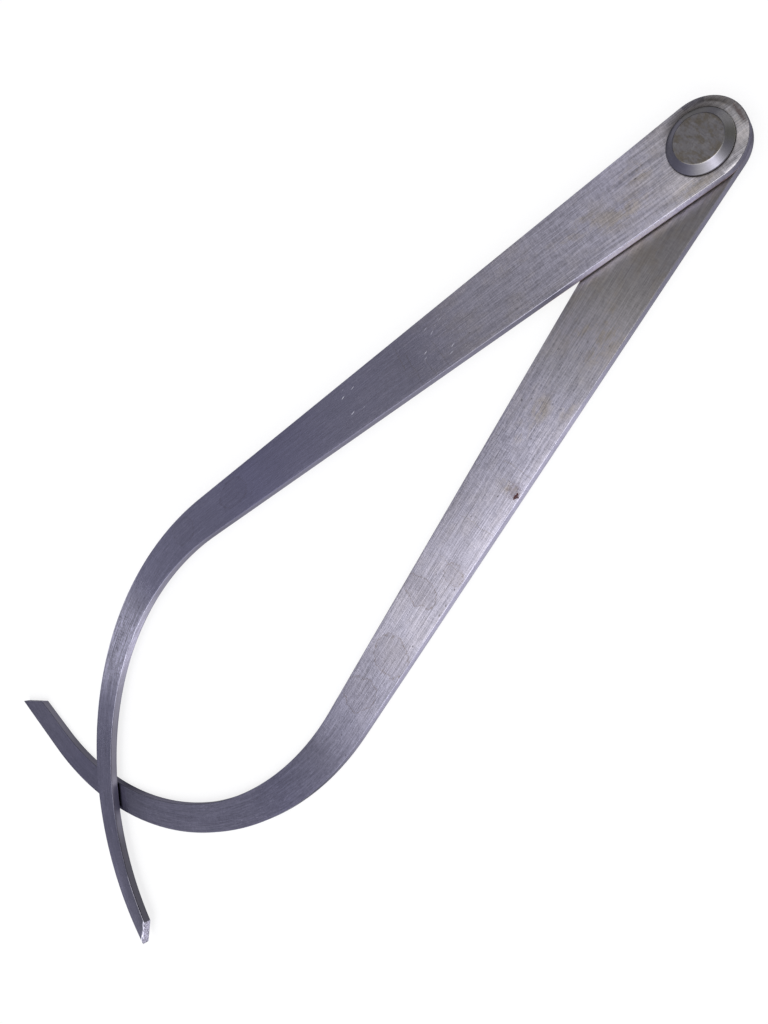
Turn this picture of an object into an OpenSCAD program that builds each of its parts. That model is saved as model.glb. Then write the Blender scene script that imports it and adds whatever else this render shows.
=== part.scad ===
// Firm-joint outside caliper: two flat steel legs with round bows, held face to face
// on one bevelled rivet. The legs lie in two neighbouring planes, so they swing past
// each other, and they are drawn with their tips crossed, as the tool is put away.
// Millimetres. The pivot axis is Z and the back face of the rear disc is Z = 0.
// The legs hang towards -Y, the front leg bowing out to -X and the rear leg to +X.

/* [Both legs] */
// Thickness of each leg's steel strip
leg_t = 2.2; // [1.5:0.1:4]
// Radius of the round end of each leg
joint_r = 8.75; // [8:0.25:12]
// How far the middle of that round end lies past the pivot
joint_run = 0.5; // [0:0.1:1.5]
// Length of the straight part of each leg, from the pivot to the start of the bow
straight_len = 153; // [120:1:200]
// Radius of the bow, at the middle of the leg's width
bow_r = 80; // [60:1:110]
// Width of a leg where its bow starts
bow_start_w = 11.2; // [9:0.1:14]
// Width of a leg part way round the bow
bow_mid_w = 8; // [6.5:0.1:9]
// How far round the bow that width is reached, in degrees
bow_mid_angle = 40; // [20:1:70]
// Width of the small bevel that breaks every edge of a leg
edge_break = 0.2; // [0.1:0.05:0.6]

/* [Front leg] */
// How far the front leg's bow turns, in degrees
front_bow_angle = 101; // [85:0.1:115]
// Length of the straight end past the front bow
front_tip_run = 0; // [0:1:25]
// Width of the front leg at its tip
front_tip_w = 4.6; // [3:0.1:7]
// Angle between the front tip's end cut and the leg, in degrees
front_cut_angle = 46; // [35:1:90]

/* [Rear leg] */
// How far the rear leg's bow turns, in degrees
rear_bow_angle = 91.2; // [75:0.1:115]
// Length of the straight end past the rear bow
rear_tip_run = 18; // [0:1:25]
// Width of the rear leg at its tip
rear_tip_w = 6.6; // [3:0.1:8]
// Angle between the rear tip's end cut and the leg, in degrees
rear_cut_angle = 41; // [35:1:90]

/* [Pivot rivet] */
// Radius of the rivet's shank
rivet_r = 3; // [2:0.1:3.5]
// Radius of the rivet's head where it lies on the front leg
head_r = 6.7; // [6:0.1:7.8]
// Radius of the flat top of the head
head_top_r = 5; // [4.5:0.1:5.8]
// Height of the head
head_h = 1.8; // [1.2:0.1:4]
// Height of the straight rim under the head's bevel
head_rim_h = 0.4; // [0.2:0.05:0.9]
// How much wider the riveted end spreads in its countersink, on the radius
flare_w = 1; // [0.5:0.1:1.2]
// Depth of that countersink
flare_h = 1; // [0.5:0.1:1.4]

/* [Rear disc] */
// Radius of the rear disc where it lies on the rear leg
disc_r = 6.7; // [6:0.1:7.8]
// Radius of the disc's flat back face, which the tool rests on
disc_face_r = 5; // [4.6:0.1:5.8]
// Thickness of the rear disc
disc_h = 1.8; // [1.5:0.1:4]
// Height of the straight rim next to the disc's bevel
disc_rim_h = 0.4; // [0.2:0.05:0.9]

/* [Friction washer] */
// Thickness of the washer between the legs
washer_t = 0.4; // [0.2:0.1:1]
// How far the washer stays inside the legs' round ends, on the radius
washer_inset = 1.25; // [0.5:0.05:2.5]

/* [Fits] */
// Radial clearance between the shank and the bore of the front leg, which turns on it
running_fit = 0.05; // [0.02:0.01:0.1]
// Radial clearance between the shank and the pieces that stay still on it
still_fit = 0.01; // [0.01:0.01:0.03]
// Radial clearance of the shank in the washer's hole
washer_fit = 0.1; // [0.05:0.05:0.3]

/* [Opening] */
// Angle between the straight parts of the legs, in degrees
open_angle = 26.5; // [12:0.1:90]

/* [Hidden] */

// Steps of the round outlines, in degrees
joint_step = 5;
bow_step = 2;

// Heights in the stack, from the back face of the rear disc to the rivet's head
rear_leg_z = disc_h;
washer_z = rear_leg_z + leg_t;
front_leg_z = washer_z + washer_t;
head_z = front_leg_z + leg_t;

// Extra length by which a cutter passes each face
cut_past = 1;

// Slant of each straight edge to the middle line of its leg: the edge is tangent to
// the round end and reaches the bow at half the width there
edge_slant = asin(joint_r / norm([joint_run + straight_len, bow_start_w / 2]))
           - atan2(bow_start_w / 2, joint_run + straight_len);

// Angle at the tip, when angles round the bow are carried on at the same pace along
// the straight end past it
function tip_angle(bow_angle, tip_run) = bow_angle + tip_run / bow_r * 180 / PI;

// Width of a leg at angle a round its bow: an even taper to the middle width, then
// an even taper to the tip
function leg_width(a, end_angle, tip_w) =
    a < bow_mid_angle
        ? bow_start_w + (bow_mid_w - bow_start_w) * a / bow_mid_angle
        : bow_mid_w + (tip_w - bow_mid_w) * (a - bow_mid_angle) / (end_angle - bow_mid_angle);

// Point at angle a round the bow, a distance outwards from the middle of the leg. Past
// the end of the bow it goes straight on.
function bow_point(a, outwards, bow_angle) =
    let (
        turn = min(a, bow_angle),
        run = (a - turn) * PI / 180 * bow_r
    )
    [
        straight_len + (bow_r + outwards) * sin(turn) + run * cos(turn),
        bow_r - (bow_r + outwards) * cos(turn) + run * sin(turn)
    ];

// Number of steps in each curved edge, and in the round end
function bow_steps(end_angle) = ceil(end_angle / bow_step);
joint_steps = ceil((180 + 2 * edge_slant) / joint_step);

// Outline of a leg, anticlockwise: X runs along its straight part from the pivot and
// Y points to the inside of the bow. It goes out along the outer edge, back along the
// inner edge in as many steps, and round the joint. The end cut joins the inner corner
// to the outer one, which reaches further round the bow.
function leg_outline(bow_angle, tip_run, tip_w, cut_angle) =
    let (
        end_angle = tip_angle(bow_angle, tip_run),
        half_cut = tip_w / 2 / tan(cut_angle) / bow_r * 180 / PI,
        last_out = end_angle + half_cut,
        last_in = end_angle - half_cut,
        n = bow_steps(end_angle)
    )
    concat(
        [for (i = [0:n])
            let (a = last_out * i / n)
            bow_point(a, leg_width(a, end_angle, tip_w) / 2, bow_angle)],
        [for (i = [n:-1:0])
            let (a = last_in * i / n)
            bow_point(a, -leg_width(a, end_angle, tip_w) / 2, bow_angle)],
        [for (i = [0:joint_steps])
            let (a = 90 - edge_slant + (180 + 2 * edge_slant) * i / joint_steps)
            [joint_r * cos(a) - joint_run, joint_r * sin(a)]]
    );

// Outward normal of the side that leaves point i of an anticlockwise outline
function side_normal(pts, i) =
    let (side = pts[(i + 1) % len(pts)] - pts[i]) [side[1], -side[0]] / norm(side);

// The same outline with every side moved inwards by a distance
function inset(pts, distance) = [
    for (i = [0:len(pts) - 1])
        let (
            before = side_normal(pts, (i + len(pts) - 1) % len(pts)),
            after = side_normal(pts, i)
        )
        pts[i] - distance * (before + after) / (1 + before * after)
];

// The points of an outline at one height
function at_height(pts, z) = [for (p = pts) [p[0], p[1], z]];

// A flat plate of a leg's outline, with all its edges bevelled. Each face is a ladder
// of quads between the curved edges and one convex piece from the bow to the round end.
module bevelled_plate(pts, ladder, thick, bevel) {
    n = len(pts);
    small = inset(pts, bevel);
    rings = concat(
        at_height(small, 0),
        at_height(pts, bevel),
        at_height(pts, thick - bevel),
        at_height(small, thick)
    );
    sides = [
        for (ring = [0:2], i = [0:n - 1])
            let (j = (i + 1) % n)
            [ring * n + i, (ring + 1) * n + i, (ring + 1) * n + j, ring * n + j]
    ];
    inner_start = 2 * ladder + 1;
    bottom = concat(
        [for (i = [0:ladder - 1]) [i, i + 1, inner_start - i - 1, inner_start - i]],
        [concat([0], [for (i = [inner_start:n - 1]) i])]
    );
    top = [for (face = bottom) [for (i = [len(face) - 1:-1:0]) 3 * n + face[i]]];
    polyhedron(points = rings, faces = concat(bottom, top, sides));
}

// One leg along X, bored for the rivet
module leg(bow_angle, tip_run, tip_w, cut_angle, fit) {
    difference() {
        bevelled_plate(
            leg_outline(bow_angle, tip_run, tip_w, cut_angle),
            bow_steps(tip_angle(bow_angle, tip_run)),
            leg_t,
            edge_break
        );
        translate([0, 0, -cut_past])
            cylinder(r = rivet_r + fit, h = leg_t + 2 * cut_past, $fn = 96);
    }
}

module front_leg() {
    color([0.56, 0.55, 0.60])
        translate([0, 0, front_leg_z])
            rotate([0, 0, -90 - open_angle / 2])
                leg(front_bow_angle, front_tip_run, front_tip_w, front_cut_angle, running_fit);
}

module rear_leg() {
    color([0.62, 0.61, 0.65])
        translate([0, 0, rear_leg_z])
            rotate([0, 0, -90 + open_angle / 2])
                mirror([0, 1, 0])
                    leg(rear_bow_angle, rear_tip_run, rear_tip_w, rear_cut_angle, still_fit);
}

// Turned in one piece: the head, the shank and the end spread flush into the disc
module joint_rivet() {
    color([0.45, 0.44, 0.44])
        rotate_extrude($fn = 96)
            polygon([
                [0, 0],
                [rivet_r + flare_w, 0],
                [rivet_r, flare_h],
                [rivet_r, head_z],
                [head_r, head_z],
                [head_r, head_z + head_rim_h],
                [head_top_r, head_z + head_h],
                [0, head_z + head_h]
            ]);
}

module rear_disc() {
    hole_r = rivet_r + still_fit;
    color([0.48, 0.47, 0.48])
        rotate_extrude($fn = 96)
            polygon([
                [hole_r + flare_w, 0],
                [disc_face_r, 0],
                [disc_r, disc_h - disc_rim_h],
                [disc_r, disc_h],
                [hole_r, disc_h],
                [hole_r, flare_h]
            ]);
}

module friction_washer() {
    color([0.72, 0.58, 0.34])
        translate([0, 0, washer_z])
            difference() {
                cylinder(r = joint_r - washer_inset, h = washer_t, $fn = 96);
                translate([0, 0, -cut_past])
                    cylinder(r = rivet_r + washer_fit, h = washer_t + 2 * cut_past, $fn = 96);
            }
}

front_leg();
rear_leg();
joint_rivet();
rear_disc();
friction_washer();
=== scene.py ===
# Firm-joint outside caliper: brushed steel legs, a bevelled rivet and a brass washer, dressed round the
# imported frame.
import math

import bmesh
import bpy
import numpy as np
from mathutils import Matrix, Vector


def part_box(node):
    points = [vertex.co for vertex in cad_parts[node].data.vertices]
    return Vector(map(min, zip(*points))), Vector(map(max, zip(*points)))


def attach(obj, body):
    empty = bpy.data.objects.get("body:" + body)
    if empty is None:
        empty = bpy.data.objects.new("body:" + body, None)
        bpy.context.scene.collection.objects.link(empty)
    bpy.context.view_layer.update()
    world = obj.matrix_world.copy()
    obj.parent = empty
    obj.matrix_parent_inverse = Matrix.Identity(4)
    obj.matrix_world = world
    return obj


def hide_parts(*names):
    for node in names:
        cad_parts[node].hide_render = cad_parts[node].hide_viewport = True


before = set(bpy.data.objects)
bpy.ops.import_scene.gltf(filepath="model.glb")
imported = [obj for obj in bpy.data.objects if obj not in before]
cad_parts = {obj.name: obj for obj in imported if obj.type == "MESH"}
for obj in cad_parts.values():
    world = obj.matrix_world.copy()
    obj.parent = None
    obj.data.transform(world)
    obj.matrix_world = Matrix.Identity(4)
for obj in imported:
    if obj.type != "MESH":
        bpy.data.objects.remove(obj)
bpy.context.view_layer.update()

mm = 0.001
print("frame loaded:", sorted(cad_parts))


# Node trees

class Sock:
    # one socket's value; arithmetic on it adds Math nodes
    def __init__(self, tree, socket):
        self.tree = tree
        self.socket = socket

    def output(self, key):
        # another output of the same node
        return Sock(self.tree, self.socket.node.outputs[key])

    def maths(self, operation, *others):
        return self.tree.maths(operation, self, *others)

    def __add__(self, other):
        return self.maths("ADD", other)

    __radd__ = __add__

    def __mul__(self, other):
        return self.maths("MULTIPLY", other)

    __rmul__ = __mul__

    def __sub__(self, other):
        return self.maths("SUBTRACT", other)

    def __rsub__(self, other):
        return self.tree.maths("SUBTRACT", other, self)

    def __truediv__(self, other):
        return self.maths("DIVIDE", other)

    def __pow__(self, other):
        return self.maths("POWER", other)

    def clamped(self):
        return self.tree.node("ShaderNodeClamp", {}, {0: self})

    def band(self, low, high):
        # 0 below low and 1 above high, with a smooth step between; low may be the larger one
        settings = dict(interpolation_type="SMOOTHSTEP")
        return self.tree.node("ShaderNodeMapRange", settings, {0: self, 1: low, 2: high})

    def near(self, centre, reach):
        # 1 at centre, falling smoothly to 0 at a distance of reach
        return (self - centre).maths("ABSOLUTE").band(reach, 0.0)

    def within(self, start, end, soft):
        # 1 between start and end and 0 outside, with a smooth step over soft to each side of both
        return self.band(start - soft, start + soft) * self.band(end + soft, end - soft)


class Tree:
    # a node tree that nodes are added to by type, settings and sockets
    def __init__(self, nodeTree):
        self.nodes = nodeTree.nodes
        self.links = nodeTree.links
        self.nodes.clear()

    def node(self, kind, settings, sockets, out=0):
        made = self.nodes.new(kind)
        for key, value in settings.items():
            if key == "stops":
                self.setStops(made.color_ramp, value)
            elif key == "ease":
                made.color_ramp.interpolation = value
            else:
                setattr(made, key, value)
        for key, value in sockets.items():
            if isinstance(value, Sock):
                self.links.new(value.socket, made.inputs[key])
            elif made.inputs[key].type == "RGBA":
                made.inputs[key].default_value = (*value, 1)
            else:
                made.inputs[key].default_value = value
        return Sock(self, made.outputs[out]) if len(made.outputs) else made

    def setStops(self, ramp, stops):
        # greys on a colour ramp, as (place from 0 to 1, grey), in order
        while len(ramp.elements) < len(stops):
            ramp.elements.new(1.0)
        for element, (place, grey) in zip(ramp.elements, stops):
            element.position = place
            element.color = (grey, grey, grey, 1)

    def maths(self, operation, *values):
        return self.node("ShaderNodeMath", dict(operation=operation), dict(enumerate(values)))

    def level(self, value, start, length, stops, ease="LINEAR"):
        # a number that goes from stop to stop, each (value, number), as value goes up from start by length
        settings = dict(ease=ease, stops=[((at - start) / length, number) for at, number in stops])
        return self.split(self.node("ShaderNodeValToRGB", settings, {0: (value - start) / length}))[0]

    def vector(self, x, y, z):
        return self.node("ShaderNodeCombineXYZ", {}, {0: x, 1: y, 2: z})

    def split(self, vector):
        parts = self.node("ShaderNodeSeparateXYZ", {}, {0: vector})
        return [parts.output(axis) for axis in range(3)]

    def inUnits(self, place, size):
        # a place as a vector, each of its parts over the size of a pattern that way
        return self.vector(*[part / length for part, length in zip(place, size)])

    def noise(self, place, size, detail=2, roughness=0.5):
        # a noise of that size, from about -0.5 to 0.5
        sockets = dict(Vector=self.inUnits(place, size), Scale=1, Detail=detail, Roughness=roughness)
        return self.node("ShaderNodeTexNoise", {}, sockets) - 0.5

    def cells(self, place, size):
        # how far the middle of the nearest cell is, and three numbers by chance for that cell
        sockets = dict(Vector=self.inUnits(place, size), Scale=1)
        middle = self.node("ShaderNodeTexVoronoi", {}, sockets)
        return middle, self.split(middle.output("Color"))

    def mix(self, amount, first, second):
        # colours mixed; the Mix node's colour sockets are its seventh and eighth
        settings = dict(data_type="RGBA", clamp_factor=True)
        return self.node("ShaderNodeMix", settings, {0: amount, 6: first, 7: second}, out=2)

    def scaled(self, colour, amount):
        return self.node("ShaderNodeVectorMath", dict(operation="SCALE"), {0: colour, 3: amount})

    def principled(self, sockets):
        shader = self.node("ShaderNodeBsdfPrincipled", {}, sockets)
        self.node("ShaderNodeOutputMaterial", {}, {0: shader})


def between(first, second, share):
    # from first to second as share goes from 0 to 1
    return first + (second - first) * share


def newMaterial(name):
    material = bpy.data.materials.new(name)
    material.use_nodes = True
    return material, Tree(material.node_tree)


# Meshes

def raised(points, height):
    # points in the plane with a height, which may change from row to row
    return np.concatenate([points, np.broadcast_to(height, points.shape[:-1] + (1,))], -1)


def gridFaces(points, wrap):
    # quads between neighbouring rows and columns of a grid of points numbered row by row
    rows, columns = points.shape[:2]
    row, column = np.meshgrid(np.arange(rows - 1), np.arange(columns - (not wrap)), indexing="ij")
    right = (column + 1) % columns
    corners = [row * columns + column, row * columns + right,
               (row + 1) * columns + right, (row + 1) * columns + column]
    return np.stack(corners, -1).reshape(-1, 4)


def weldedMesh(name, patches):
    # every patch is (grid of points, wraps round or not); their shared borders are welded into one skin
    points = np.concatenate([grid.reshape(-1, 3) for grid, wrap in patches])
    starts = np.cumsum([0] + [grid.shape[0] * grid.shape[1] for grid, wrap in patches])
    faces = [gridFaces(grid, wrap) + start for (grid, wrap), start in zip(patches, starts)]
    mesh = bpy.data.meshes.new(name)
    mesh.from_pydata(points.tolist(), [], np.concatenate(faces).tolist())
    skin = bmesh.new()
    skin.from_mesh(mesh)
    bmesh.ops.remove_doubles(skin, verts=skin.verts, dist=0.0005 * mm)
    bmesh.ops.recalc_face_normals(skin, faces=skin.faces)
    if skin.calc_volume(signed=True) < 0:
        bmesh.ops.reverse_faces(skin, faces=skin.faces)
    openEdges = sum(not edge.is_manifold for edge in skin.edges)
    print(name, "faces", len(skin.faces), "open edges", openEdges)
    skin.to_mesh(mesh)
    skin.free()
    mesh.shade_smooth()
    return mesh


def vertexPlaces(mesh):
    places = np.empty(len(mesh.vertices) * 3, np.float32)
    mesh.vertices.foreach_get("co", places)
    return places.reshape(-1, 3).astype(float)


def finishedPiece(name, mesh, body, node, material):
    piece = bpy.data.objects.new(name, mesh)
    bpy.context.scene.collection.objects.link(piece)
    mesh.materials.append(material)
    evenFaces = piece.modifiers.new("evenFaces", "WEIGHTED_NORMAL")   # flats stay flat beside rounded edges
    evenFaces.weight = 80
    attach(piece, body)
    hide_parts(node)


# Legs

legSize = dict(
    jointR=8.748 * mm,          # a hair inside the solid's round end
    jointRun=0.5 * mm, straightLen=153 * mm, boreR=3.05 * mm,
    bowR=80 * mm, bowStartW=11.2 * mm, bowMidW=8 * mm, bowMidAngle=math.radians(40),
    edgeBreak=0.15 * mm, lowerBreak=0.08 * mm,
    edgeFlat=0.6,               # flat share of those bevels, with the rest round
    patchEnd=13 * mm,           # from the bore to here the face is in rings, and in rows from here on
    patchSteps=4, stationStep=3 * mm, bowStep=math.radians(1), across=14, roundSteps=72, edgeSteps=6)
frontLeg = dict(bowAngle=math.radians(101), tipRun=0, tipW=4.6 * mm,
                cutAngle=math.radians(46), tipRough=0.07 * mm)
rearLeg = dict(bowAngle=math.radians(91.2), tipRun=18 * mm, tipW=6.6 * mm,
               cutAngle=math.radians(41), tipRough=0.03 * mm)
halfOpen = math.radians(26.5) / 2

jointToBow = legSize["jointRun"] + legSize["straightLen"]
edgeSlant = (math.asin(legSize["jointR"] / math.hypot(jointToBow, legSize["bowStartW"] / 2))
             - math.atan2(legSize["bowStartW"] / 2, jointToBow))


def legPoint(along, out, leg):
    # x and y of a point: along is the distance from the pivot down the middle line, straight, then round
    # the bow, then straight again, and out is the distance from that line to the outside of the bow
    straight, bowR = legSize["straightLen"], legSize["bowR"]
    past = np.maximum(along - straight, 0)
    turn = np.minimum(past / bowR, leg["bowAngle"])
    run = past - turn * bowR
    x = np.minimum(along, straight) + (bowR + out) * np.sin(turn) + run * np.cos(turn)
    y = bowR - (bowR + out) * np.cos(turn) + run * np.sin(turn)
    return np.stack([x, y], -1)


def legPlace(points, leg):
    # the inverse of legPoint: along and out of points in the leg's plane
    straight, bowR, end = legSize["straightLen"], legSize["bowR"], leg["bowAngle"]
    x, y = points[..., 0] - straight, bowR - points[..., 1]
    turn = np.arctan2(x, y)
    run = x * math.cos(end) - y * math.sin(end)
    inBow, inRun = x > 0, (run > 0) & (turn > end / 2)
    alongBow = np.where(inBow, straight + bowR * turn, x + straight)
    along = np.where(inRun, straight + bowR * end + run, alongBow)
    bowOut = np.where(inRun, x * math.sin(end) + y * math.cos(end), np.hypot(x, y)) - bowR
    return along, np.where(inBow | inRun, bowOut, -points[..., 1])


def tipAlong(leg):
    # how far along the leg the middle of its tip is
    return legSize["straightLen"] + legSize["bowR"] * leg["bowAngle"] + leg["tipRun"]


def legHalfWidth(along, leg):
    # half the width: straight edges tangent to the round end, then two even tapers round the bow
    size = legSize
    straight = (size["jointR"] - (along + size["jointRun"]) * math.sin(edgeSlant)) / math.cos(edgeSlant)
    mid, tip = size["straightLen"] + size["bowR"] * size["bowMidAngle"], tipAlong(leg)
    places, widths = [size["straightLen"], mid, tip], [size["bowStartW"], size["bowMidW"], leg["tipW"]]
    bow = np.interp(along, places, widths) / 2
    bow = bow + (leg["tipW"] - size["bowMidW"]) / (tip - mid) / 2 * np.maximum(along - tip, 0)
    return np.where(along < size["straightLen"], straight, bow)


def legLoop(leg):
    # outline round the leg: outer edge to the tip, end cut, inner edge back and round end, and the number
    # of points on each of the edges
    size = legSize
    halfCut = leg["tipW"] / 2 / math.tan(leg["cutAngle"])
    tangentAt = size["jointR"] * math.sin(edgeSlant) - size["jointRun"]
    jointPart = np.linspace(tangentAt, size["patchEnd"], size["patchSteps"] + 1)[:-1]
    stations = int((size["straightLen"] - size["patchEnd"]) / size["stationStep"])
    straightPart = np.linspace(size["patchEnd"], size["straightLen"], stations)[:-1]
    bowPart = tipAlong(leg) - size["straightLen"]
    share = np.linspace(0, 1, int(bowPart / size["bowR"] / size["bowStep"]) + 1)
    outer = np.concatenate([jointPart, straightPart, size["straightLen"] + (bowPart + halfCut) * share])
    inner = np.concatenate([jointPart, straightPart, size["straightLen"] + (bowPart - halfCut) * share])
    outerEdge = legPoint(outer, legHalfWidth(outer, leg), leg)
    innerEdge = legPoint(inner, -legHalfWidth(inner, leg), leg)
    cutShare = np.linspace(0, 1, size["across"] + 1)[1:-1, None]
    endCut = outerEdge[-1] * (1 - cutShare) + innerEdge[-1] * cutShare
    turn = np.linspace(math.pi / 2 - edgeSlant, 1.5 * math.pi + edgeSlant, size["roundSteps"] + 1)[1:-1]
    roundEnd = size["jointR"] * np.stack([np.cos(turn), np.sin(turn)], -1) - [size["jointRun"], 0]
    return np.concatenate([outerEdge, endCut, innerEdge[::-1], roundEnd]), len(outer)


def inwards(loop):
    # at each point, the step that moves both sides of the loop inwards by one unit
    side = np.roll(loop, -1, 0) - loop
    after = np.stack([-side[:, 1], side[:, 0]], -1) / np.linalg.norm(side, axis=1)[:, None]
    before = np.roll(after, 1, 0)
    return (before + after) / (1 + (before * after).sum(1))[:, None]


def edgeProfile(thick):
    # from the top face down the edge to the bottom face: how far in and how high; each corner is a small
    # bevel with soft ends, part flat and part quarter round
    flat = legSize["edgeFlat"]
    turn = np.linspace(0, math.pi / 2, legSize["edgeSteps"] + 1)
    share = np.linspace(0, 1, legSize["edgeSteps"] + 1)
    inShare = (1 - flat) * (1 - np.sin(turn)) + flat * (1 - share)
    downShare = (1 - flat) * (1 - np.cos(turn)) + flat * share
    upper, lower = legSize["edgeBreak"], legSize["lowerBreak"]
    wall = thick - upper - share[1:-1] * (thick - upper - lower)
    heights = np.concatenate([thick - upper * downShare, wall, lower * downShare[::-1]])
    return np.concatenate([upper * inShare, wall * 0, lower * inShare[::-1]]), heights


def edgeBand(loop, leg, cut, thick):
    # the edge's profile carried round the loop: in along the inward step, and up
    step = inwards(loop)
    profileIn, profileUp = edgeProfile(thick)
    band = loop[None] + profileIn[:, None, None] * step[None]
    # the end cut is left rough, a little below its plane and never above it
    dice = np.random.default_rng(7)
    pits = dice.random((len(profileIn), legSize["across"] + 1)) * leg["tipRough"]
    pits[[0, -1]] = 0
    band[:, cut] += pits[..., None] * step[None, cut]
    return raised(band, profileUp[:, None, None])


def faceGrids(border, leg, edgeCount):
    # a face inside its border: rows across the leg down to its tip, each point a share of the way from the
    # outer edge to the inner one, and rings round the joint from the bore to the rim
    across, joint = legSize["across"], legSize["patchSteps"]
    plan, height = border[:, :2], border[0, 2]
    outer = plan[:edgeCount]
    inner = plan[edgeCount + across - 1:2 * edgeCount + across - 1][::-1]
    roundEnd = plan[2 * edgeCount + across - 1:]
    share = np.linspace(0, 1, across + 1)[None, :, None]
    outerPlace, innerPlace = [np.stack(legPlace(edge[joint:], leg), -1)[:, None] for edge in (outer, inner)]
    place = outerPlace * (1 - share) + innerPlace * share
    rows = legPoint(place[..., 0], place[..., 1], leg)
    rows[:, 0], rows[:, -1] = outer[joint:], inner[joint:]
    rows[-1] = plan[edgeCount - 1:edgeCount + across]
    rim = np.concatenate([rows[0], inner[:joint][::-1], roundEnd, outer[:joint]])
    bore = legSize["boreR"] * rim / np.linalg.norm(rim, axis=1)[:, None]
    ringShare = np.array([0, 0.12, 0.3, 0.52, 0.76, 1])[:, None, None]
    rings = bore[None] * (1 - ringShare) + rim[None] * ringShare
    return raised(rows, height), raised(rings, height)


def legMesh(name, leg, thick):
    # the edge band, both faces and the wall of the bore, with each point's place on the leg kept beside it
    loop, edgeCount = legLoop(leg)
    cut = slice(edgeCount - 1, edgeCount + legSize["across"])
    band = edgeBand(loop, leg, cut, thick)
    topRows, topRings = faceGrids(band[0], leg, edgeCount)
    lowRows, lowRings = faceGrids(band[-1], leg, edgeCount)
    bore = np.stack([topRings[0], lowRings[0]])
    mesh = weldedMesh(name, [(band, True), (topRows, False), (topRings, True),
                             (lowRows, False), (lowRings, True), (bore, True)])
    points = vertexPlaces(mesh)
    along, out = legPlace(points[:, :2], leg)
    place = mesh.attributes.new("alongLeg", "FLOAT_VECTOR", "POINT")
    place.data.foreach_set("vector", np.stack([along, out, points[:, 2]], -1).astype(np.float32).ravel())
    return mesh


def placeLeg(mesh, turn, flip, height):
    # the leg's own plane into the frame: mirrored if it is the rear one, turned about the pivot, raised
    place = (Matrix.Translation((0, 0, height)) @ Matrix.Rotation(turn, 4, "Z")
             @ Matrix.Diagonal((1, -1 if flip else 1, 1, 1)))
    mesh.transform(place)
    if flip:
        mesh.flip_normals()


# Finishes of the legs, with painted light and shade

legFinish = dict(
    face=(0.34, 0.333, 0.435), wall=(0.355, 0.342, 0.422), stain=(0.265, 0.232, 0.19),
    drop=(0.275, 0.222, 0.205), rust=(0.07, 0.022, 0.02), seam=(0.30, 0.19, 0.18),
    # the grime colour also paints the shadow round the rivet's head
    grimeAndShadow=(0.05, 0.043, 0.037), pit=(0.06, 0.052, 0.055), scratch=(0.8, 0.8, 0.86),
    farTone=0.8,                # tone of the bevels and walls on the sides without stops of their own
    bump=0.02 * mm)
steelSheen = (0.3, 0.3, 0.33)   # tint of the steel's reflection at a grazing angle

# The brushed steel's patterns: their size in mm along the leg, across it and up, and what each of them
# adds to the tone, the roughness and the relief
legGrain = dict(
    streaks=dict(size=(9, 0.3, 0.3), detail=2, roughness=0.6, tone=0.992, rough=0, relief=0.4),
    hairs=dict(size=(2, 0.2, 0.2), detail=2, roughness=0.6, tone=0.682, rough=0.12, relief=0.3),
    across=dict(size=(0.28, 1.6, 1.6), detail=1, roughness=0.5, tone=0.496, rough=0, relief=0),
    grit=dict(size=(0.5, 0.4, 0.4), detail=2, roughness=0.7, tone=0.434, rough=0.1, relief=0.25),
    clouds=dict(size=(7, 4, 4), detail=4, roughness=0.65, tone=0.372, rough=0.06, relief=0))
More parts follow.
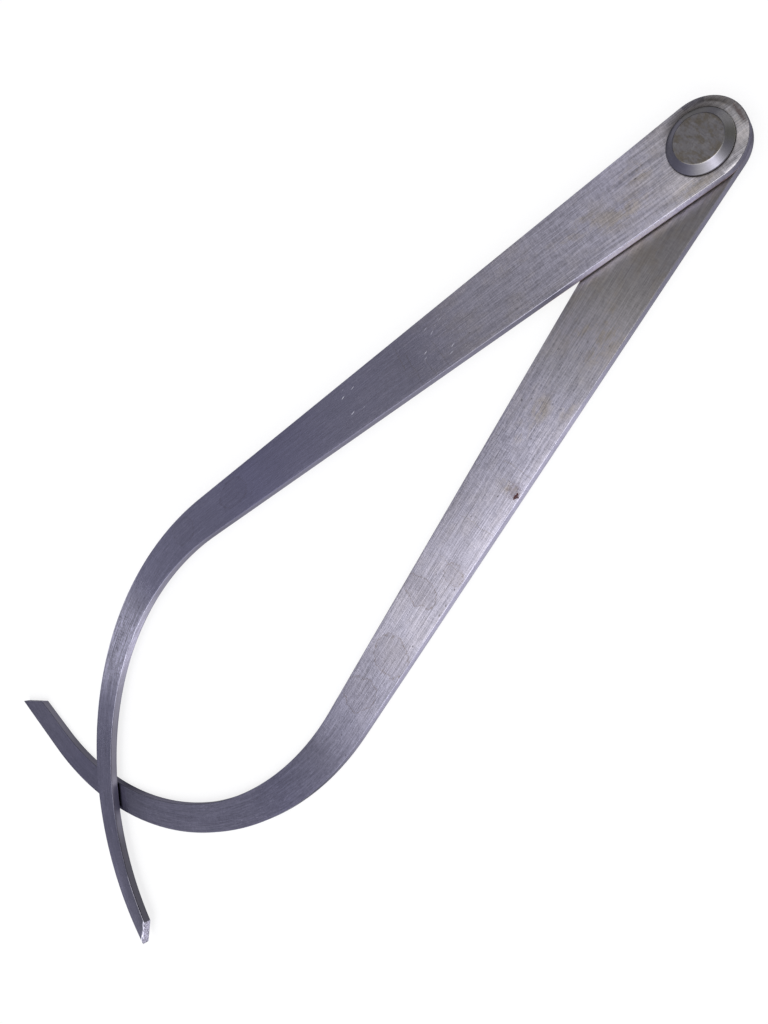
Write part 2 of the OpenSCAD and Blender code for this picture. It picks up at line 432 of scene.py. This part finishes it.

# How each leg is worn, and the studio light painted on it. Every list of pairs goes down the leg as
# (mm along, level): tone, grain and rough are the face's, brown is its browning, across the strength of
# the marks across it, blue the share of the blue, which also paints the bluer cast of the reflections in
# the darker stretches, and lean the painted brightening for each mm outwards. edge and wall are the tones
# of the top bevel and of the side wall, on the inner side past sideChange and on the outer side before it.
# tone, edge and wall carry painted light and shade: the face painted lighter and darker down each leg as
# the studio light falls on it, painted highlights on the top bevel, walls painted lighter where they
# mirror a dark face and darker where they are in shade, and on the rear leg the painted shadow of the
# front leg by the joint and where it crosses at about 246 mm. Marks are at (mm along, mm out) and reach
# that far each way, and lines cross the leg at a place along, leaning, from one place out to another.
# Pits lie in a zone along, in that share of the cells, and seam is where the oily seam on the lower inner
# edge starts and ends. The gleams are painted highlights on the face.
lookStart, lookLength = -10, 310   # mm, the stretch that the lists of pairs cover
frontLook = dict(
    tone=[(-10, 1.45), (-4, 1.22), (3, 1.24), (12, 1.24), (22, 1.12), (36, 1.04), (56, 1.04), (66, 0.92),
          (78, 0.75), (92, 0.81), (104, 0.78), (124, 0.75), (140, 0.82), (156, 0.87), (170, 0.96),
          (182, 1.09), (190, 1.28), (199, 1.52), (206, 1.54), (213, 1.38), (226, 0.96), (240, 0.84),
          (262, 0.76), (276, 0.85), (290, 0.84)],
    grain=[(-10, 1.2), (-4, 1.3), (3, 1.45), (12, 1.45), (22, 1.4), (36, 1.2), (66, 0.75), (78, 0.6),
           (92, 0.5), (104, 0.45), (124, 0.4), (156, 0.5), (170, 0.6), (182, 0.7), (190, 1.3), (199, 2.4),
           (206, 2.4), (213, 2.1), (226, 0.9), (240, 0.7), (262, 0.65), (290, 0.65)],
    rough=[(-10, 0.27), (-4, 0.27), (3, 0.26), (12, 0.26), (22, 0.25), (56, 0.25), (66, 0.24), (78, 0.24),
           (92, 0.23), (104, 0.23), (124, 0.22), (156, 0.22), (170, 0.23), (182, 0.24), (190, 0.32),
           (199, 0.42), (213, 0.42), (226, 0.3), (240, 0.25), (262, 0.24), (290, 0.24)],
    brown=[(-10, 0.6), (2, 0.55), (8, 0.5), (28, 0.4), (45, 0.55), (64, 0.5), (80, 0.15), (112, 0.1),
           (150, 0), (232, 0), (244, 0.05), (290, 0.05)],
    across=[(-10, 0.9), (2, 0.9), (8, 0.8), (28, 1.0), (45, 1.2), (64, 0.8), (80, 0.5), (150, 0.5),
            (172, 0.6), (190, 0.7), (208, 0.6), (220, 0.6), (232, 0.5), (290, 0.5)],
    blue=[(-10, 0.78), (6, 0.88), (16, 0.96), (28, 0.94), (56, 0.93), (70, 0.97), (100, 1.0), (114, 1.05),
          (132, 1.09), (148, 1.02), (184, 0.98), (191, 0.93), (212, 0.93), (226, 0.98), (262, 0.98),
          (276, 0.96), (290, 0.92)],
    lean=[(-10, 0), (16, 0), (28, 0.01), (56, 0.015), (70, 0.01), (100, 0.01), (114, 0), (132, 0),
          (148, 0.01), (191, 0.01), (212, 0), (226, 0), (262, 0.03), (276, 0.1), (290, 0.12)],
    edge=[(-10, 0.5), (2, 0.6), (8, 0.8), (28, 0.9), (45, 0.85), (64, 0.75), (80, 0.72), (112, 0.62),
          (150, 0.62), (172, 0.8), (190, 0.95), (208, 0.9), (220, 0.38), (232, 0.19), (244, 0.11),
          (290, 0.05)],
    wall=[(-10, 0.6), (-2, 0.6), (4, 1.6), (12, 2.8), (28, 2.6), (34, 1.6), (39, 0.65), (52, 0.75),
          (64, 0.88), (88, 0.83), (100, 0.83), (112, 0.88), (136, 0.86), (150, 0.78), (172, 0.86),
          (184, 0.91), (196, 1.5), (208, 1.56), (220, 0.92), (232, 0.66), (246, 0.6), (250, 1.0),
          (257, 1.05), (260, 0.6), (268, 0.3), (290, 0.25)],
    sideChange=-20, endTone=1.9,
    stains=[dict(at=(19, -2), reach=(9, 4)), dict(at=(5, -7), reach=(7, 2.5)),
            dict(at=(29, 1), reach=(10, 5)), dict(at=(12, 3.5), reach=(6, 4)),
            dict(at=(-7.4, 0.8), reach=(2, 6))],
    drops=[dict(at=(162, 1), reach=(4.5, 3.6)), dict(at=(140.5, 0.5), reach=(5, 3.5))],
    dropStrength=0.5,
    lines=[dict(at=78.4, lean=0.02, out=(-1, 5)), dict(at=76.3, lean=0.09, out=(-7, 2)),
           dict(at=68.9, lean=0.16, out=(-7, 1)), dict(at=72.6, lean=0.1, out=(-7, -2))],
    scratches=[dict(at=(68, 0), reach=(6, 6.5)), dict(at=(95, 0.5), reach=(5, 6))],
    pits=dict(zone=(0, 70), share=0.015),
    rust=[dict(at=(-8.3, -0.3), reach=(0.55, 3.4), strength=0.65)],
    gleams=[dict(at=(-7.3, -4), reach=(3, 3.5)), dict(at=(7, -5), reach=(4.5, 3))],
    seam=(-3, 44))
rearLook = dict(
    tone=[(-10, 0.5), (16, 0.53), (28, 0.65), (38, 0.82), (47, 0.95), (58, 1.1), (68, 1.17), (78, 1.06),
          (88, 0.99), (100, 0.97), (112, 0.955), (119, 1.08), (130, 1.07), (148, 1.0), (156, 0.87),
          (165, 0.645), (182, 0.61), (195, 0.72), (212, 0.84), (236, 0.8), (246, 0.52), (255, 0.68),
          (285, 0.865), (300, 0.86)],
    grain=[(-10, 0.8), (16, 0.8), (28, 0.85), (38, 0.95), (47, 1.1), (58, 1.3), (68, 1.4), (88, 1.2),
           (100, 1.15), (112, 1.25), (130, 1.25), (148, 1.2), (156, 1.05), (165, 0.9), (195, 0.9),
           (212, 0.85), (236, 0.8), (246, 0.7), (255, 0.65), (285, 0.6), (300, 0.6)],
    rough=[(-10, 0.4), (28, 0.4), (38, 0.36), (47, 0.3), (58, 0.27), (78, 0.25), (156, 0.25), (165, 0.24),
           (195, 0.24), (212, 0.23), (300, 0.23)],
    brown=[(-10, 0.95), (30, 0.95), (40, 0.75), (52, 0.45), (75, 0.3), (100, 0.4), (136, 0.25),
           (150, 0.15), (170, 0), (215, 0.1), (300, 0.05)],
    across=[(-10, 0.7), (30, 0.7), (40, 0.8), (136, 0.8), (150, 0.7), (170, 0.6), (215, 0.6), (300, 0.5)],
    blue=[(-10, 0.84), (24, 0.83), (32, 0.81), (43, 0.91), (52, 0.9), (58, 0.95), (74, 0.96), (88, 0.97),
          (104, 0.97), (119, 0.95), (140, 0.97), (165, 1.0), (182, 1.05), (195, 1.0), (212, 0.97),
          (240, 0.96), (270, 1.0), (285, 0.95), (300, 0.95)],
    lean=[(-10, 0), (24, 0), (32, 0.015), (43, 0.02), (52, 0.01), (58, 0.015), (74, 0.025), (88, 0.03),
          (104, 0), (140, 0), (165, 0.01), (182, 0.02), (195, 0), (300, 0)],
    edge=[(-10, 0.65), (4, 0.6), (20, 0.5), (30, 0.7), (40, 0.85), (52, 1.15), (75, 1.2), (100, 1.1),
          (136, 1.05), (150, 0.85), (170, 0.5), (215, 0.4), (300, 0.35)],
    wall=[(-10, 0.65), (5, 0.8), (16, 0.77), (28, 0.81), (40, 1.0), (52, 1.38), (64, 1.57), (76, 1.64),
          (88, 1.56), (100, 1.6), (124, 1.7), (136, 1.53), (148, 1.4), (160, 0.98), (172, 0.6),
          (205, 0.5), (224, 0.7), (236, 0.53), (247, 0.23), (256, 0.42), (272, 0.34), (284, 0.45),
          (300, 0.45)],
    sideChange=190, endTone=0.9,
    stains=[dict(at=(79, 3.5), reach=(3, 4.4)), dict(at=(61, 0), reach=(5, 3.5)),
            dict(at=(57.5, 5), reach=(4, 3)), dict(at=(67, -1), reach=(4, 3)),
            dict(at=(40, 2), reach=(12, 8))],
    drops=[dict(at=(112.4, -1.6), reach=(3.3, 4.6)), dict(at=(103.8, 3.4), reach=(2.4, 2.8)),
           dict(at=(130, 0.7), reach=(4.8, 5.2)), dict(at=(144, -1), reach=(4.5, 4.5))],
    dropStrength=1.0,
    lines=[dict(at=74.6, lean=0.0, out=(-1, 7)), dict(at=91.0, lean=-0.08, out=(-3, 7)),
           dict(at=102.2, lean=0.05, out=(-3, 6))],
    scratches=[],
    pits=dict(zone=(40, 175), share=0.07),
    rust=[dict(at=(79.9, 6.2), reach=(1.2, 0.7), strength=0.85),
          dict(at=(79, 5), reach=(2.8, 2.4), strength=0.25)],
    gleams=[],
    seam=None)


class LegSpot:
    # where a point of the surface is on its leg, in mm, with the levels and patterns there
    def __init__(self, tree, look, thick):
        place = tree.node("ShaderNodeAttribute", dict(attribute_name="alongLeg"), {}, out=1)
        self.tree = tree
        self.look = look
        self.place = [part / mm for part in tree.split(place)]
        self.along, self.out, self.up = self.place
        self.thick = thick / mm
        self.onTop = self.up.band(self.thick / 2 - 0.3, self.thick / 2 + 0.3)
        self.patterns = {key: tree.noise(self.place, grain["size"], grain["detail"], grain["roughness"])
                         for key, grain in legGrain.items()}
        self.patterns["across"] = self.patterns["across"] * self.level("across")
        self.hairs, self.grit, self.clouds = [self.patterns[key] for key in ("hairs", "grit", "clouds")]

    def level(self, key):
        return self.tree.level(self.along, lookStart, lookLength, self.look[key])

    def brushed(self, use):
        # the patterns added up, each by its share in the tone, the roughness or the relief
        return sum(self.patterns[key] * grain[use] for key, grain in legGrain.items() if grain[use])

    def distance(self, mark):
        # 0 in the middle of an ellipse round a mark and 1 on its rim
        (alongAt, outAt), (alongReach, outReach) = mark["at"], mark["reach"]
        return (((self.along - alongAt) / alongReach) ** 2 + ((self.out - outAt) / outReach) ** 2) ** 0.5

    def total(self, key, mask):
        # marks of one kind added up; they are on the top face and the upper half of the walls
        marks = self.look[key]
        return (sum(mask(mark) for mark in marks) * self.onTop).clamped() if marks else 0.0


def stainMask(spot):
    # browning in patches, all over by its level and in the places of the stains
    patches = (spot.clouds + spot.grit * 0.25 + spot.hairs * 0.2 + 0.5).band(0.42, 0.64)
    stains = spot.total("stains", lambda mark: spot.distance(mark).band(1, 0.1))
    return (stains * patches * 0.7 + spot.level("brown") * (0.45 + patches * 0.55)).clamped() * 0.7


def dropMask(spot):
    # dried drops: a thin uneven line round a slightly darker patch
    def rim(mark):
        return (spot.distance(mark) + spot.clouds * 1.2).near(1, 0.09)

    def inside(mark):
        return (spot.distance(mark) + spot.clouds * 1.2).band(1, 0.85)

    rims = spot.total("drops", rim) * (spot.grit + 0.5).band(0.35, 0.6)
    return (rims * 0.65 + spot.total("drops", inside) * 0.12) * spot.look["dropStrength"]


def pitMask(spot):
    # dark pits in a share of the cells, fading out at both ends of their zone
    pits = spot.look["pits"]
    start, end = pits["zone"]
    zone = spot.along.band(start - 8, start + 8) * spot.along.band(end + 12, end - 12)
    middle, chances = spot.tree.cells(spot.place, (1.5, 0.9, 1))
    chosen = chances[0].maths("GREATER_THAN", 1 - pits["share"])
    return middle.band(0.24, 0.1) * chosen * zone


def lineMask(spot):
    # thin wavering lines across the leg, from one place out to another
    def line(mark):
        onLine = (spot.along + spot.clouds * 2 - spot.out * mark["lean"]).near(mark["at"], 0.18)
        return onLine * spot.out.within(*mark["out"], 0.3)

    return spot.total("lines", line) * (spot.grit + 0.5).band(0.3, 0.6)


def scratchMask(spot):
    # short bright scratches at an angle to the grain, in a share of the cells near the marks
    angle, share = math.radians(-17), 0.2
    if not spot.look["scratches"]:
        return 0.0
    turned = (spot.along * math.cos(angle) + spot.out * math.sin(angle),
              spot.out * math.cos(angle) - spot.along * math.sin(angle), spot.up)
    middle, chances = spot.tree.cells(turned, (3, 0.5, 1))
    chosen = chances[1].maths("GREATER_THAN", 1 - share)
    near = spot.total("scratches", lambda mark: spot.distance(mark).band(1, 0.6))
    return middle.band(0.3, 0.1) * chosen * near


def rustMask(spot):
    # rust, broken up by the grit
    def speck(mark):
        broken = 1 - spot.distance(mark) + spot.grit * 2.2 + spot.clouds * 0.8
        return broken.band(0.25, 0.55) * mark["strength"]

    return spot.total("rust", speck)


def seamMasks(spot, wall):
    # rusty oil along the lower inner edge by the joint, and a thin film of it on the wall above
    start, end = spot.look["seam"]
    seam = spot.up.band(0.5, 0.1) * spot.out.band(1, -1)
    seam = seam * spot.along.band(start - 3, start + 3) * spot.along.band(end + 5, end - 5)
    return seam, wall * spot.along.band(start, start + 8) * spot.along.band(end - 4, end - 14)


def grimeAndShadowMask(spot):
    # grime and painted shadow round the rivet's head: a thin grime ring at its base, the head's painted
    # shadow on its upper side, a narrow painted shade close to it on the lower side and a darker band along
    # the round end
    radius = (spot.along ** 2 + spot.out ** 2) ** 0.5

    def facing(degrees):
        # 1 on one side of the pivot and -1 opposite, by degrees from the leg's length to its outer edge
        turn = math.radians(degrees)
        return (spot.along * math.cos(turn) + spot.out * math.sin(turn)) / radius

    upper, end = facing(104.8), facing(157)
    ring = radius.band(6.95, 6.75) * 0.45
    upperShade = radius.band(9.3, 7.2) * upper.band(0.3, 1) * 0.73
    upperLine = radius.band(7.4, 6.9) * upper.band(0, 0.7) * 0.1
    lowerShade = radius.band(7.2, 6.85) * upper.band(-0.5, -0.9) * 0.5
    endBand = radius.band(7.6, 8.15) * end.band(0.66, 0.92) * 0.5
    return (ring + upperShade + upperLine + lowerShade + endBand).clamped()


def legSteel(name, look, leg, thick):
    # brushed steel with its marks and painted light and shade, then the bevels, the walls and the end cut,
    # which have their own tones; the bevel and wall tones hold painted highlights and shade too
    material, tree = newMaterial(name)
    spot = LegSpot(tree, look, thick)
    red, green, blue = legFinish["face"]
    # tone, lean and blue paint light and shade down the leg and across it, and the gleams are painted
    # highlights
    tint = tree.vector(red, green, spot.level("blue") * blue)
    gleam = spot.total("gleams", lambda mark: spot.distance(mark).band(1, 0.2)) * 0.28
    tone = spot.level("tone") * (1 + spot.level("lean") * spot.out) * (1 + gleam)
    grainLevel = spot.level("grain")
    grain = spot.brushed("tone") * grainLevel
    colour = tree.scaled(tint, tone * (1 + grain))

    pits, scratches, rust = pitMask(spot), scratchMask(spot), rustMask(spot)
    colour = tree.mix(stainMask(spot), colour, tree.scaled(legFinish["stain"], tone * (1 + grain)))
    colour = tree.mix(dropMask(spot), colour, tree.scaled(legFinish["drop"], tone * 0.55))
    colour = tree.mix(pits * 0.6, colour, legFinish["pit"])
    colour = tree.mix(lineMask(spot) * 0.5, colour, tree.scaled(legFinish["stain"], tone * 0.8))
    colour = tree.mix(scratches * 0.8, colour, legFinish["scratch"])
    colour = tree.mix(rust, colour, legFinish["rust"])
    metallic = 1 - rust * 0.8
    rough = spot.level("rough") + rust * 0.4

    edge = spot.up.band(spot.thick - 0.01, spot.thick - 0.04) * spot.up.band(0.004, 0.02)
    wall = spot.up.band(spot.thick - 0.07, spot.thick - 0.15) * spot.up.band(0.01, 0.03)
    crumbs = 0.5 + tree.noise(spot.place, (1 / 3.6, 1 / 3.6, 1 / 3.6), 3, 0.75)
    pastTip = spot.along - spot.out / math.tan(leg["cutAngle"]) - tipAlong(leg) / mm
    endCut = pastTip.band(-0.22, -0.1) * edge
    farSide = (spot.out * (spot.along - look["sideChange"])).band(-5, 5)
    # the bevel and wall tones paint highlights, lighter walls where they would mirror a dark face, and shade
    edgeTone = between(spot.level("edge"), legFinish["farTone"], farSide)
    edgeTone = between(edgeTone, look["endTone"] * crumbs.band(0.35, 0.6), endCut)
    wallTone = between(spot.level("wall"), legFinish["farTone"], farSide)
    # painted shade: the wall darker towards its bottom
    wallTone = wallTone * between(0.75, 1, spot.up.band(0.05, 0.6))
    wallTone = between(wallTone, look["endTone"] * (0.15 + crumbs.band(0.35, 0.62)), endCut)
    colour = tree.mix(edge, colour, tree.scaled(tint, edgeTone * (1 + grain * 0.5)))
    colour = tree.mix(wall, colour, tree.scaled(legFinish["wall"], wallTone * (1 + grain * 0.5)))
    rough = rough + wall * 0.15

    if look["seam"]:
        seam, film = seamMasks(spot, wall)
        colour = tree.mix(seam * 0.85, colour, legFinish["seam"])
        metallic = metallic * (1 - film * 0.25) * (1 - seam * 0.7)
        rough = rough + seam * 0.3
    # grime and the painted shadow round the rivet's head
    colour = tree.mix(grimeAndShadowMask(spot), colour, legFinish["grimeAndShadow"])

    rough = rough + spot.brushed("rough") * grainLevel - scratches * 0.05 + endCut * 0.1
    height = spot.brushed("relief") - pits * 0.5 + endCut * crumbs * 3 + scratches * 0.4
    bump = tree.node("ShaderNodeBump", {}, dict(Strength=1, Distance=legFinish["bump"], Height=height))
    tree.principled({"Base Color": colour, "Metallic": metallic, "Roughness": rough.clamped(),
                     "Normal": bump, "Specular Tint": steelSheen})
    return material


def makeLeg(node, body, leg, look, turn, flip):
    low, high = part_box(node)
    thick = high.z - low.z
    mesh = legMesh(node + "_steel", leg, thick)
    placeLeg(mesh, turn, flip, low.z)
    material = legSteel(node + "Steel", look, leg, thick)
    finishedPiece(node + "_steel", mesh, body, node, material)


makeLeg("front_leg", "front", frontLeg, frontLook, -math.pi / 2 - halfOpen, flip=False)
makeLeg("rear_leg", "rear", rearLeg, rearLook, -math.pi / 2 + halfOpen, flip=True)
print("legs made")


# Turned pieces

def softened(profile, radius):
    # every inner corner of a profile of (radius, height) points becomes a small curve of five points,
    # a quadratic from one side to the other through the corner
    profile = np.array(profile, float)
    before, corner, after = profile[:-2], profile[1:-1], profile[2:]
    beforeShare, afterShare = [np.minimum(radius / np.linalg.norm(side - corner, axis=1), 0.45)[:, None]
                               for side in (before, after)]
    start = corner + (before - corner) * beforeShare
    end = corner + (after - corner) * afterShare
    share = np.linspace(0, 1, 5)[None, :, None]
    curve = (start[:, None] * (1 - share) ** 2 + 2 * corner[:, None] * share * (1 - share)
             + end[:, None] * share ** 2)
    return np.concatenate([profile[:1], curve.reshape(-1, 2), profile[-1:]])


def turnedMesh(name, profile, segments=120):
    # a profile carried round Z: x = r cos a, y = r sin a
    angle = np.linspace(0, 2 * math.pi, segments, endpoint=False)
    r, z = profile[:, :1], profile[:, 1:]
    points = np.stack([r * np.cos(angle), r * np.sin(angle), z + 0 * angle], -1)
    return weldedMesh(name, [(points, True)])


rivetSize = dict(shankR=3 * mm, topR=5 * mm, rimH=0.4 * mm, headH=1.8 * mm, flareW=1 * mm, flareH=1 * mm,
                 softEdge=0.16 * mm)
discSize = dict(faceR=5 * mm, rimH=0.4 * mm, holeFit=0.01 * mm, softEdge=0.16 * mm)
washerSize = dict(holeR=3.1 * mm, softEdge=0.05 * mm)


def rivetProfile():
    # from the spread end up the shank and the head to the middle of its top
    size, top = rivetSize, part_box("joint_rivet")[1]
    headZ = top.z - size["headH"]
    return [(0, 0), (size["shankR"] + size["flareW"], 0), (size["shankR"], size["flareH"]),
            (size["shankR"], headZ), (top.x, headZ), (top.x, headZ + size["rimH"]),
            (size["topR"], top.z), (0, top.z)]


def discProfile():
    # from the middle of the hole down its countersink, out, up the bevel and back over the top
    size, top = discSize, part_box("rear_disc")[1]
    holeR = rivetSize["shankR"] + size["holeFit"]
    return [(holeR, top.z / 2), (holeR, rivetSize["flareH"]), (holeR + rivetSize["flareW"], 0),
            (size["faceR"], 0), (top.x, top.z - size["rimH"]), (top.x, top.z), (holeR, top.z),
            (holeR, top.z / 2)]


def washerProfile():
    # round the ring's section from the middle of the hole
    holeR, (low, high) = washerSize["holeR"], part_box("friction_washer")
    mid = (low.z + high.z) / 2
    return [(holeR, mid), (holeR, low.z), (high.x, low.z), (high.x, high.z), (holeR, high.z), (holeR, mid)]


headFinish = dict(
    face=(0.186, 0.178, 0.182), brown=(0.15, 0.134, 0.112), pale=(0.24, 0.233, 0.24),
    bevel=(0.345, 0.335, 0.40), rough=0.3, bevelRough=0.2, bump=0.012 * mm,
    # round the bevel, by degrees from X: its tone, which paints the bevel's highlight and its darker
    # reflections, and the share of the blue, which tints them
    bevelTone=[(-180, 0.52), (-162, 0.5), (-132, 0.35), (-102, 0.63), (-72, 0.79), (-42, 0.86),
               (-12, 0.65), (18, 0.8), (48, 0.8), (78, 1.23), (108, 0.36), (138, 0.46), (168, 0.54),
               (180, 0.52)],
    bevelBlue=[(-180, 0.95), (-162, 0.97), (-132, 1.0), (-102, 0.97), (-72, 0.96), (-42, 0.83),
               (-12, 0.96), (18, 0.86), (48, 0.67), (78, 0.76), (108, 0.91), (138, 0.83), (168, 0.82),
               (180, 0.95)])
washerFinish = dict(bright=(0.62, 0.45, 0.20), dull=(0.35, 0.23, 0.10), rough=0.35)


def turnedSteel(name, look, faceR):
    # dark mottled face with drawn-out patches, and a bevel with a painted highlight and painted darker
    # reflections round it
    material, tree = newMaterial(name)
    place = tree.node("ShaderNodeTexCoord", {}, {}, out=3)
    x, y, z = [part / mm for part in tree.split(place)]
    radius = (x ** 2 + y ** 2) ** 0.5
    onBevel = radius.band(faceR / mm - 0.06, faceR / mm + 0.1)
    patches = tree.noise((x, y, z), (2, 1.25, 1), 4, 0.7)
    pale = tree.noise((x, y, z + 4), (1 / 0.6, 1 / 0.6, 1), 4, 0.65)
    lines = tree.noise((x, y, z), (1.25, 1 / 4.5, 1), 3, 0.7)
    grit = tree.noise((x, y, z), (0.4, 0.4, 0.4), 2, 0.7)
    rings = tree.noise((radius, z, 0), (0.2, 0.2, 1))
    face = tree.mix(patches.band(-0.05, 0.12), look["face"], look["brown"])
    face = tree.mix(pale.band(0.02, 0.2) * 0.7, face, look["pale"])
    face = tree.scaled(face, 1 + lines * 0.5 + grit * 0.5)
    degrees = y.maths("ARCTAN2", x) * math.degrees(1)
    # painted highlight and painted darker reflections round the bevel
    tone = tree.level(degrees, -180, 360, look["bevelTone"], "EASE")
    tone = tone * (1 + rings * 0.3 + lines * 0.15 + grit * 0.2)
    blueShare = tree.level(degrees, -180, 360, look["bevelBlue"], "EASE")
    red, green, blue = look["bevel"]
    bevel = tree.vector(tone * red, tone * green, tone * blueShare * blue)
    rough = between(look["rough"], look["bevelRough"], onBevel) + patches * 0.15
    height = lines * (1 - onBevel) + rings * onBevel * 0.5
    bump = tree.node("ShaderNodeBump", {}, dict(Strength=1, Distance=look["bump"], Height=height))
    tree.principled({"Base Color": tree.mix(onBevel, face, bevel), "Metallic": 1,
                     "Roughness": rough.clamped(), "Normal": bump, "Specular Tint": steelSheen})
    return material


def washerBrass(name):
    # rolled brass with duller blotches
    material, tree = newMaterial(name)
    place = tree.node("ShaderNodeTexCoord", {}, {}, out=3)
    blotches = tree.noise([part / mm for part in tree.split(place)], (1.25, 1.25, 1.25), 3)
    colour = tree.mix(blotches.band(-0.15, 0.2), washerFinish["bright"], washerFinish["dull"])
    rough = washerFinish["rough"] + blotches * 0.3
    tree.principled({"Base Color": colour, "Metallic": 1, "Roughness": rough})
    return material


def makeTurned(name, profile, softEdge, node, material):
    mesh = turnedMesh(name, softened(profile, softEdge))
    finishedPiece(name, mesh, "rear", node, material)


makeTurned("joint_rivet_turned", rivetProfile(), rivetSize["softEdge"], "joint_rivet",
           turnedSteel("headSteel", headFinish, rivetSize["topR"]))
makeTurned("rear_disc_turned", discProfile(), discSize["softEdge"], "rear_disc",
           turnedSteel("discSteel", headFinish, discSize["faceR"]))
makeTurned("friction_washer_brass", washerProfile(), washerSize["softEdge"], "friction_washer",
           washerBrass("washerBrass"))
print("turned pieces made")


# Floor, light and camera

floorLook = dict(
    reach=6.0, colour=(0.92, 0.92, 0.92), white=(1, 1, 1),
    whiteShare=0.78, glow=1.03,   # how far the floor goes to white where it is seen, and how bright
    heading=math.radians(-59), bowCentre=(-42.9 * mm, -167.2 * mm), bowEdgeR=84 * mm)


def isSeen(tree, *kinds):
    # 1 for the rays of those kinds and 0 for the rest
    ray = tree.node("ShaderNodeLightPath", {}, {})
    return sum(ray.output("Is " + kind + " Ray") for kind in kinds).clamped()


def floorMaterial():
    material, tree = newMaterial("paleFloor")
    seen = isSeen(tree, "Camera", "Glossy", "Transmission")
    lit = tree.node("ShaderNodeBsdfDiffuse", {}, {0: floorLook["colour"]})
    white = tree.node("ShaderNodeEmission", {}, {0: floorLook["white"], 1: floorLook["glow"]})
    mixed = tree.node("ShaderNodeMixShader", {}, {0: seen * floorLook["whiteShare"], 1: lit, 2: white})
    tree.node("ShaderNodeOutputMaterial", {}, {0: mixed})
    return material


def makeFloor():
    # the tool leans on the edge of its disc and the outside of the rear bow, so the floor slopes up that way
    tilt = np.array([math.cos(floorLook["heading"]), math.sin(floorLook["heading"])])
    farthest = np.array(floorLook["bowCentre"]) @ tilt + floorLook["bowEdgeR"]
    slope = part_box("rear_disc")[1].z / (farthest - discSize["faceR"])
    angle = np.linspace(0, 2 * math.pi, 64, endpoint=False)
    ring = floorLook["reach"] * np.stack([np.cos(angle), np.sin(angle)], -1)
    height = slope * (ring @ tilt - discSize["faceR"])
    mesh = bpy.data.meshes.new("floor")
    mesh.from_pydata(np.column_stack([ring, height]).tolist(), [], [list(range(len(ring)))])
    floor = bpy.data.objects.new("floor", mesh)
    bpy.context.scene.collection.objects.link(floor)
    mesh.materials.append(floorMaterial())


# Each soft light is colour * exp(narrow * (cosine of the angle to its direction - 1))
softLights = [
    dict(to=(-0.38, 0.015, 0.925), colour=(0.82, 0.81, 0.75), narrow=70),
    dict(to=(-0.169, -0.369, 0.914), colour=(3.6, 3.55, 3.3), narrow=104),
    dict(to=(0.79, -0.16, 0.6), colour=(1.6, 1.6, 1.65), narrow=45),
    dict(to=(0.6, -0.6, 0.5), colour=(0.6, 0.6, 0.68), narrow=7),
    dict(to=(0.45, -0.1, 0.88), colour=(4.8, 4.8, 4.7), narrow=14)]
skyColours = dict(high=(0.3, 0.3, 0.357), low=(0.35, 0.35, 0.41), backdrop=(1, 1, 1))


def makeWorld():
    world = bpy.data.worlds.new("studio")
    bpy.context.scene.world = world
    world.use_nodes = True
    tree = Tree(world.node_tree)
    way = tree.node("ShaderNodeTexCoord", {}, {})
    up = tree.split(way)[2]
    light = tree.mix(up.band(0.3, 0.05), skyColours["high"], skyColours["low"])
    for lamp in softLights:
        to = Vector(lamp["to"]).normalized()
        cosine = tree.node("ShaderNodeVectorMath", dict(operation="DOT_PRODUCT"), {0: way, 1: to}, out=1)
        glow = tree.scaled(lamp["colour"], ((cosine - 1) * lamp["narrow"]).maths("EXPONENT"))
        light = tree.node("ShaderNodeVectorMath", dict(operation="ADD"), {0: light, 1: glow})
    sky = tree.node("ShaderNodeBackground", {}, {0: light, 1: 1})
    backdrop = tree.node("ShaderNodeBackground", {}, {0: skyColours["backdrop"], 1: 1})
    mixed = tree.node("ShaderNodeMixShader", {}, {0: isSeen(tree, "Camera"), 1: sky, 2: backdrop})
    tree.node("ShaderNodeOutputWorld", {}, {0: mixed})


cameraAt = dict(
    place=(0.08479, -0.01998, 0.18346), aim=(0.00427, -0.10356, 0.0066), up=(-0.7389, 0.6735, 0.0181),
    focalPixels=874.4, longSidePixels=1024)


def makeCamera():
    data = bpy.data.cameras.new("camera")
    data.sensor_width = 36
    data.lens = cameraAt["focalPixels"] / cameraAt["longSidePixels"] * data.sensor_width
    data.clip_start, data.clip_end = 0.01, 50
    back = (Vector(cameraAt["place"]) - Vector(cameraAt["aim"])).normalized()
    right = Vector(cameraAt["up"]).cross(back).normalized()
    turn = Matrix((right, back.cross(right), back)).transposed()
    camera = bpy.data.objects.new("camera", data)
    camera.matrix_world = Matrix.Translation(cameraAt["place"]) @ turn.to_4x4()
    bpy.context.scene.collection.objects.link(camera)
    bpy.context.scene.camera = camera


makeFloor()
makeWorld()
makeCamera()
bpy.context.scene.view_settings.view_transform = "Standard"
print("floor, light and camera made")

bpy.context.view_layer.update()
